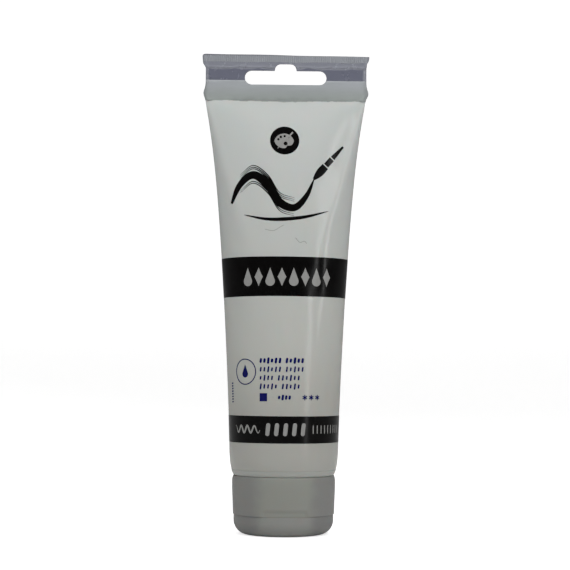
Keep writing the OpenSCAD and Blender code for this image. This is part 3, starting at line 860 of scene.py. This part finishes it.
def drop(centre, r, height):
    """A drop: a round end, and straight sides up to a point at that height above its centre."""
    side = math.acos(r / height)

    def edge(a):
        off = abs((a - math.pi / 2 + math.pi) % (math.tau) - math.pi)
        return r / math.cos(side - off) if off < side else r
    return star_shape(centre, edge, 6, 96)


def annulus(centre, r, width):
    """A ring of that width, whose middle line has radius r."""
    turns = full_turn(96)
    verts = [np.array(centre) + q * unit(a)
             for q in (r - width / 2, r, r + width / 2) for a in turns]
    return np.array(verts), grid_faces(3, len(turns), close_cols=True)


def smooth_path(knots, per_span=14):
    """A Catmull-Rom curve through the knots."""
    pts = [np.array(k, float) for k in knots]
    pts = [2 * pts[0] - pts[1]] + pts + [2 * pts[-1] - pts[-2]]
    out = []
    for i in range(1, len(pts) - 2):
        a, b, c, d = pts[i - 1:i + 3]
        for k in range(per_span):
            t = k / per_span
            out.append(0.5 * (2 * b + (c - a) * t + (2 * a - 5 * b + 4 * c - d) * t * t
                              + (3 * b - a - 3 * c + d) * t ** 3))
    out.append(pts[-2])
    return np.array(out)


def stroke(path, half_width, across):
    """A line of varying width. half_width is a number, or a function of the share of the way along."""
    path = np.array(path, float)
    run = np.gradient(path, axis=0)
    run /= np.linalg.norm(run, axis=1, keepdims=True)
    side = np.stack([-run[:, 1], run[:, 0]], -1)
    gone = np.concatenate([[0], np.cumsum(np.linalg.norm(np.diff(path, axis=0), axis=1))])
    share = gone / gone[-1]
    wide = np.array([half_width(s) if callable(half_width) else half_width for s in share])
    rows = [path + side * (wide * k)[:, None] for k in np.linspace(-1, 1, across)]
    return np.stack(rows, 1).reshape(-1, 2), grid_faces(len(path), across)


def dab(start, end, half_width, steps=14):
    """A straight dab with round ends."""
    start, end = np.array(start, float), np.array(end, float)
    length = np.linalg.norm(end - start)
    cap = min(0.49, half_width / length)

    def wide(s):
        near = min(s, 1 - s) / cap
        return half_width * (math.sqrt(max(0.0, 1 - (1 - near) ** 2)) if near < 1 else 1.0) + 0.01

    ease = 0.5 - 0.5 * np.cos(np.linspace(0, math.pi, steps))
    return stroke([start + (end - start) * e for e in ease], wide, 3)


def joined(shapes):
    """Several print shapes as one."""
    verts, faces = [], []
    for points, own in shapes:
        first = sum(len(v) for v in verts)
        verts.append(points)
        faces += [tuple(first + i for i in face) for face in own]
    return np.concatenate(verts), faces


def wrap(along, z, back=False):
    """The angle round the sleeve of points that far along its skin from the middle of the front or back."""
    turns = np.linspace(0, math.pi / 2, 241)
    at = section(turns[None, :] - math.pi / 2, np.asarray(z)[:, None])
    steps = np.linalg.norm(np.diff(at, axis=1), axis=-1)
    gone = np.concatenate([np.zeros((len(at), 1)), np.cumsum(steps, 1)], 1)
    turn = np.array([np.interp(abs(s), g, turns) for s, g in zip(along, gone)]) * np.sign(along)
    return math.pi / 2 + turn if back else turn - math.pi / 2


def print_on(name, shape, ink, layer=0, back=False):
    """Lays a print shape on the skin as a thin shell."""
    points, faces = shape
    along, z = points[:, 0] * MM, points[:, 1] * MM
    angle = wrap(along, z, back)
    proud = INK + layer * INK_STEP
    verts = np.concatenate([skin(angle, z, proud), skin(angle, z, 0.0)])
    shell(name, verts, faces, len(points), ink)


def shell(name, verts, faces, count, ink):
    """Closes a sheet of faces and its copy, numbered from count on, with side walls."""
    edges = dict.fromkeys((a, b) for face in faces for a, b in zip(face, face[1:] + face[:1]))
    rim = [(a, b) for a, b in edges if (b, a) not in edges]
    closed = list(faces) + [tuple(count + i for i in face[::-1]) for face in faces]
    closed += [(b, a, count + a, count + b) for a, b in rim]
    obj = add_object(name, verts, closed, ink, clean=False, sharp=70)
    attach(obj, "tube")


def print_band(name, low, high):
    """A black band all the way round, with slightly uneven edges."""
    around = full_turn(288)
    rows = 30
    up = np.linspace(0, 1, rows)[:, None]
    low_z = low + BAND_WOBBLE * np.sin(3 * around + 1)
    high_z = high + BAND_WOBBLE * np.sin(2 * around + 0.5)
    z = (low_z + (high_z - low_z) * up) * MM
    angle = np.broadcast_to(around, z.shape)
    verts = np.concatenate([skin(angle, z, INK).reshape(-1, 3), skin(angle, z, 0.0).reshape(-1, 3)])
    shell(name, verts, grid_faces(rows, len(around), close_cols=True), z.size, BLACK_INK)


# Heights of the bands' edges and the medallion's place, in mm
UPPER_BAND = (85.96, 100.28)
LOWER_BAND = (33.50, 43.15)
BAND_WOBBLE = 0.03
MEDAL = np.array([-0.5, 143.4])
MEDAL_R = 5.35


def build_medallion():
    """A black disc with a painter's palette and brush."""
    print_on("medallion", disc(MEDAL, MEDAL_R, 10, 96), BLACK_INK)

    def palette_edge(a):
        return 3.55 * (1 - 0.2 * abs(math.sin(a)) - 0.22 * math.exp(-((a - 5.3) / 0.28) ** 2))

    print_on("palette", star_shape(MEDAL + (-0.2, -0.2), palette_edge, 8, 96), GREY_INK, 1)
    spots = [(-2.3, 0.4, 0.42), (-1.4, 1.35, 0.46), (0.0, 1.6, 0.42), (1.35, 1.15, 0.38), (0.3, -1.2, 0.72)]
    print_on("palette_spots", joined([disc(MEDAL + (x, z), r, 3, 32) for x, z, r in spots]), BLACK_INK, 2)
    handle = stroke(smooth_path([MEDAL + (-2.6, -3.1), MEDAL + (0.4, 0.2), MEDAL + (3.0, 3.2)]),
                    lambda s: 0.12 + 0.2 * s, 5)
    print_on("palette_brush", handle, GREY_INK, 3)


def build_flourish():
    """A loose wave of brushwork that runs up to a brush, a trail below it and two fine scratches."""
    knots = [(-20.5, 120.0), (-17.0, 127.0), (-12.0, 130.4), (-6.6, 126.6), (-2.4, 120.2), (3.0, 118.2),
             (7.4, 122.6), (10.4, 129.2)]
    wave = smooth_path(knots, 16)

    def pressure(s):
        return 0.25 + 1.35 * math.sin(math.pi * min(1.0, 0.04 + s * 0.98)) ** 0.8

    def dry(offset):
        lifted = [(x, z + offset) for x, z in knots[1:6]]
        return stroke(smooth_path(lifted, 16), lambda s: 0.03 + 0.16 * math.sin(math.pi * s), 3)

    bristles = stroke(smooth_path([(10.2, 128.9), (12.4, 131.4), (14.6, 133.9)]),
                      lambda s: 0.25 + 1.25 * math.sin(math.pi * min(0.62, 0.05 + s * 0.66)), 7)
    ferrule = stroke(smooth_path([(14.9, 134.25), (16.0, 135.5), (17.1, 136.75)]), 1.05, 5)
    handle = stroke(smooth_path([(17.4, 137.1), (19.4, 139.3), (21.6, 141.7)]), lambda s: 0.95 - 0.55 * s, 5)
    print_on("brush_wave", stroke(wave, pressure, 7), BLACK_INK)
    print_on("dry_bristles", joined([dry(offset) for offset in (-3.1, -2.4, 2.3, 2.9, 3.6)]), BLACK_INK)
    print_on("brush_drawing", joined([bristles, ferrule, handle]), BLACK_INK)
    trail = stroke(smooth_path([(-15.5, 115.6), (-6.0, 113.9), (5.5, 114.6), (15.8, 117.2)], 20),
                   lambda s: 0.05 + 0.6 * math.sin(math.pi * s) ** 0.8, 5)
    print_on("brush_trail", trail, BLACK_INK)
    hairs = [smooth_path([(-7.6, 110.2), (-4.6, 109.7), (-2.2, 111.0), (-0.8, 111.8)]),
             smooth_path([(3.4, 107.1), (5.0, 105.5), (6.6, 105.9), (7.6, 105.1)])]
    print_on("hair_scratches", joined([stroke(h, 0.07, 3) for h in hairs]), SCUFF_INK)


def build_band_print():
    """Grey ornaments on both bands."""
    middle = (UPPER_BAND[0] + UPPER_BAND[1]) / 2 - 0.2
    shapes = []
    for k in range(8):
        x = -14.2 + k * 4.25
        shapes.append(diamond((x, middle), 1.6, 3.4) if k % 2 else drop((x, middle - 1.6), 1.7, 5.0))
    print_on("upper_ornaments", joined(shapes), GREY_INK, 1)
    middle = (LOWER_BAND[0] + LOWER_BAND[1]) / 2 + 0.1
    ripple = [(x, middle + 1.25 * math.sin(math.tau * x / 3.1)) for x in np.linspace(-21.2, -9.4, 120)]
    line = stroke(ripple, lambda s: 0.06 + 0.3 * math.sin(math.pi * s) ** 0.6, 3)
    dabs = [dab((x, middle - 2.3), (x + 0.5, middle + 2.3), 0.75) for x in (-6.6, -3.4, -0.2, 3.0, 6.2)]
    thin = [dab((x, middle - 1.5), (x, middle + 1.5), 0.2) for x in np.arange(10.4, 24.5, 1.75)]
    print_on("lower_ornaments", joined([line] + dabs + thin), GREY_INK, 1)


def hatching(x, z, groups, height, half_width, pitch):
    """Groups of small slanted dabs on one line, which stand for a line of small print."""
    made = []
    for group in groups:
        for k in range(group):
            tall = height * (0.8 + 0.2 * math.cos(2.4 * (len(made) + group)))
            made.append(dab((x, z - tall / 2), (x + 0.14 * tall, z + tall / 2), half_width, 8))
            x += pitch
        x += 0.75 * pitch
    return made


def build_navy_print():
    """The colour's panel: a ringed drop, hatched lines, a swatch, three stars and a row of dabs."""
    ring_at = np.array([-15.7, 58.9])
    shapes = [annulus(ring_at, 4.5, 0.36), drop(ring_at + (0, -0.8), 1.3, 3.4)]
    left, pitch = -9.3, 1.42
    shapes += hatching(left, 62.9, (6, 5), 2.35, 0.42, pitch)
    for z, groups in ((59.8, (6, 5)), (56.75, (4, 6)), (53.7, (5, 5))):
        shapes += hatching(left, z, groups, 2.25, 0.29, pitch)
    swatch = [(x, z) for x in np.linspace(-9.5, -6.7, 8) for z in (48.4, 51.3)]
    shapes.append((np.array(swatch), [(2 * i, 2 * i + 2, 2 * i + 3, 2 * i + 1) for i in range(7)]))
    shapes += hatching(-2.4, 49.8, (4,), 2.1, 0.4, 1.25)
    for x in (7.0, 9.5, 12.0):
        for turn in np.radians((30, 90, 150)):
            shapes.append(dab((x, 49.8) - unit(turn), (x, 49.8) + unit(turn), 0.19, 8))
    shapes += [dab((-23.8, z), (-22.6, z + 0.15), 0.26, 6) for z in np.arange(48.0, 55.5, 0.95)]
    print_on("navy_print", joined(shapes), NAVY_INK)


def build_back_print():
    """The back: a panel of dashed lines with a ringed drop, a wave and five lozenges."""
    shapes = []
    for row in range(7):
        groups = [3 + int(3 * abs(math.sin(2.1 * row + 1.3 * k))) for k in range(4)]
        shapes += hatching(-12.5, 78 - 3.1 * row, groups, 1.9, 0.2, 1.25)
    shapes += [annulus((-7.5, 52.5), 3.2, 0.34), drop((-7.5, 52.0), 1.0, 2.6)]
    shapes += hatching(-1.5, 54.0, (4, 6), 1.9, 0.3, 1.25) + hatching(-1.5, 50.9, (5, 4), 1.9, 0.2, 1.25)
    print_on("back_panel", joined(shapes), NAVY_INK, back=True)
    crests = [(-14.5, 121.0), (-7.0, 126.5), (1.5, 121.0), (9.0, 126.0), (15.0, 123.5)]
    wave = stroke(smooth_path(crests, 18), lambda s: 0.1 + 1.1 * math.sin(math.pi * s) ** 0.8, 7)
    print_on("back_wave", wave, BLACK_INK, back=True)
    middle = (UPPER_BAND[0] + UPPER_BAND[1]) / 2
    row = [diamond((x, middle), 1.3, 2.6) for x in (-10, -5, 0, 5, 10)]
    print_on("back_ornaments", joined(row), GREY_INK, 1, back=True)


# ==== camera, lights and floor
# Degrees and mm; shift is a share of the sensor's width
CAMERA = dict(azimuth=-1.644, distance=562.2, height=56.7, tilt=3.491, roll=0.307, lens=96.33, sensor=36,
              shift=0.0007)


def add_camera():
    """The camera stands a little left of the front, near the floor, and looks slightly up."""
    turn, tilt, roll = (math.radians(CAMERA[k]) for k in ("azimuth", "tilt", "roll"))
    away = CAMERA["distance"] * MM
    place = Matrix.Translation((away * math.sin(turn), -away * math.cos(turn), CAMERA["height"] * MM))
    look = Matrix.Rotation(turn, 4, "Z") @ Matrix.Rotation(math.pi / 2 + tilt, 4, "X")
    data = bpy.data.cameras.new("camera")
    data.lens, data.sensor_width, data.shift_x = CAMERA["lens"], CAMERA["sensor"], CAMERA["shift"]
    data.clip_start = 0.05
    camera = bpy.data.objects.new("camera", data)
    camera.matrix_world = place @ look @ Matrix.Rotation(roll, 4, "Z")
    bpy.context.scene.collection.objects.link(camera)
    bpy.context.scene.camera = camera


def add_light(name, place, target, size, power, colour=(1, 1, 1), highlight=True, fill=True):
    """A soft rectangular light that faces its target, with or without its highlight and its fill."""
    data = bpy.data.lights.new(name, "AREA")
    data.shape, data.size, data.size_y = "RECTANGLE", size[0], size[1]
    data.energy, data.color = power, colour
    light = bpy.data.objects.new(name, data)
    light.location = place
    light.rotation_mode = "QUATERNION"
    light.rotation_quaternion = (Vector(target) - Vector(place)).to_track_quat("-Z", "Y")
    light.visible_camera = False
    light.visible_glossy, light.visible_diffuse = highlight, fill
    bpy.context.scene.collection.objects.link(light)


# The room, in metres: the flat floor's radius, the bend's radius and the wall's height
ROOM_FLAT, ROOM_BEND, ROOM_TOP = 0.75, 0.45, 1.5


def add_room():
    """A round pale floor that sweeps up into a wall on every side."""
    line = [(r, 0.0) for r in np.linspace(0.02, ROOM_FLAT, 12)]
    line += [(ROOM_FLAT + ROOM_BEND * math.sin(a), ROOM_BEND * (1 - math.cos(a)))
             for a in np.linspace(0, math.pi / 2, 20)[1:]]
    line.append((ROOM_FLAT + ROOM_BEND, ROOM_TOP))
    turns = full_turn(96)
    points = [(r * math.cos(a), r * math.sin(a), z) for r, z in line for a in turns]
    faces = grid_faces(len(line), len(turns), close_cols=True) + [tuple(range(len(turns)))]
    add_object("studio_sweep", points, faces, floor_material())


def add_studio():
    """An even pale room, a large light in front, soft ones left and behind, two narrow ones right."""
    world = bpy.data.worlds.new("studio")
    world.use_nodes = True
    bpy.context.scene.world = world
    back = world.node_tree.nodes["Background"]
    back.inputs["Color"].default_value = rgb(1, 1, 1)
    back.inputs["Strength"].default_value = 0.42
    # Places and sizes in metres, powers in watts
    middle = (0, 0, 0.09)
    add_light("key", (0.03, -0.40, 0.58), middle, (0.5, 0.35), 1.45, (1.0, 1.0, 0.985), highlight=False)
    add_light("right_strip", (0.431, -0.446, 0.22), middle, (0.07, 0.5), 0.42)
    add_light("right_line", (0.552, -0.281, 0.30), middle, (0.04, 0.32), 0.30, fill=False)
    add_light("left_soft", (-0.46, -0.24, 0.60), middle, (0.3, 0.25), 0.52)
    add_light("back_fill", (0.1, 0.55, 0.5), middle, (0.6, 0.4), 1.5)


add_camera()
add_room()
add_studio()
build_sleeve()
build_paste()
build_tab()
build_crimp()
build_shoulder()
build_thread()
build_seal()
build_cap()
build_lid()
build_hinge()
print_band("upper_band", *UPPER_BAND)
print_band("lower_band", *LOWER_BAND)
build_medallion()
build_flourish()
build_band_print()
build_navy_print()
build_back_print()

bpy.context.scene.view_settings.view_transform = "Standard"
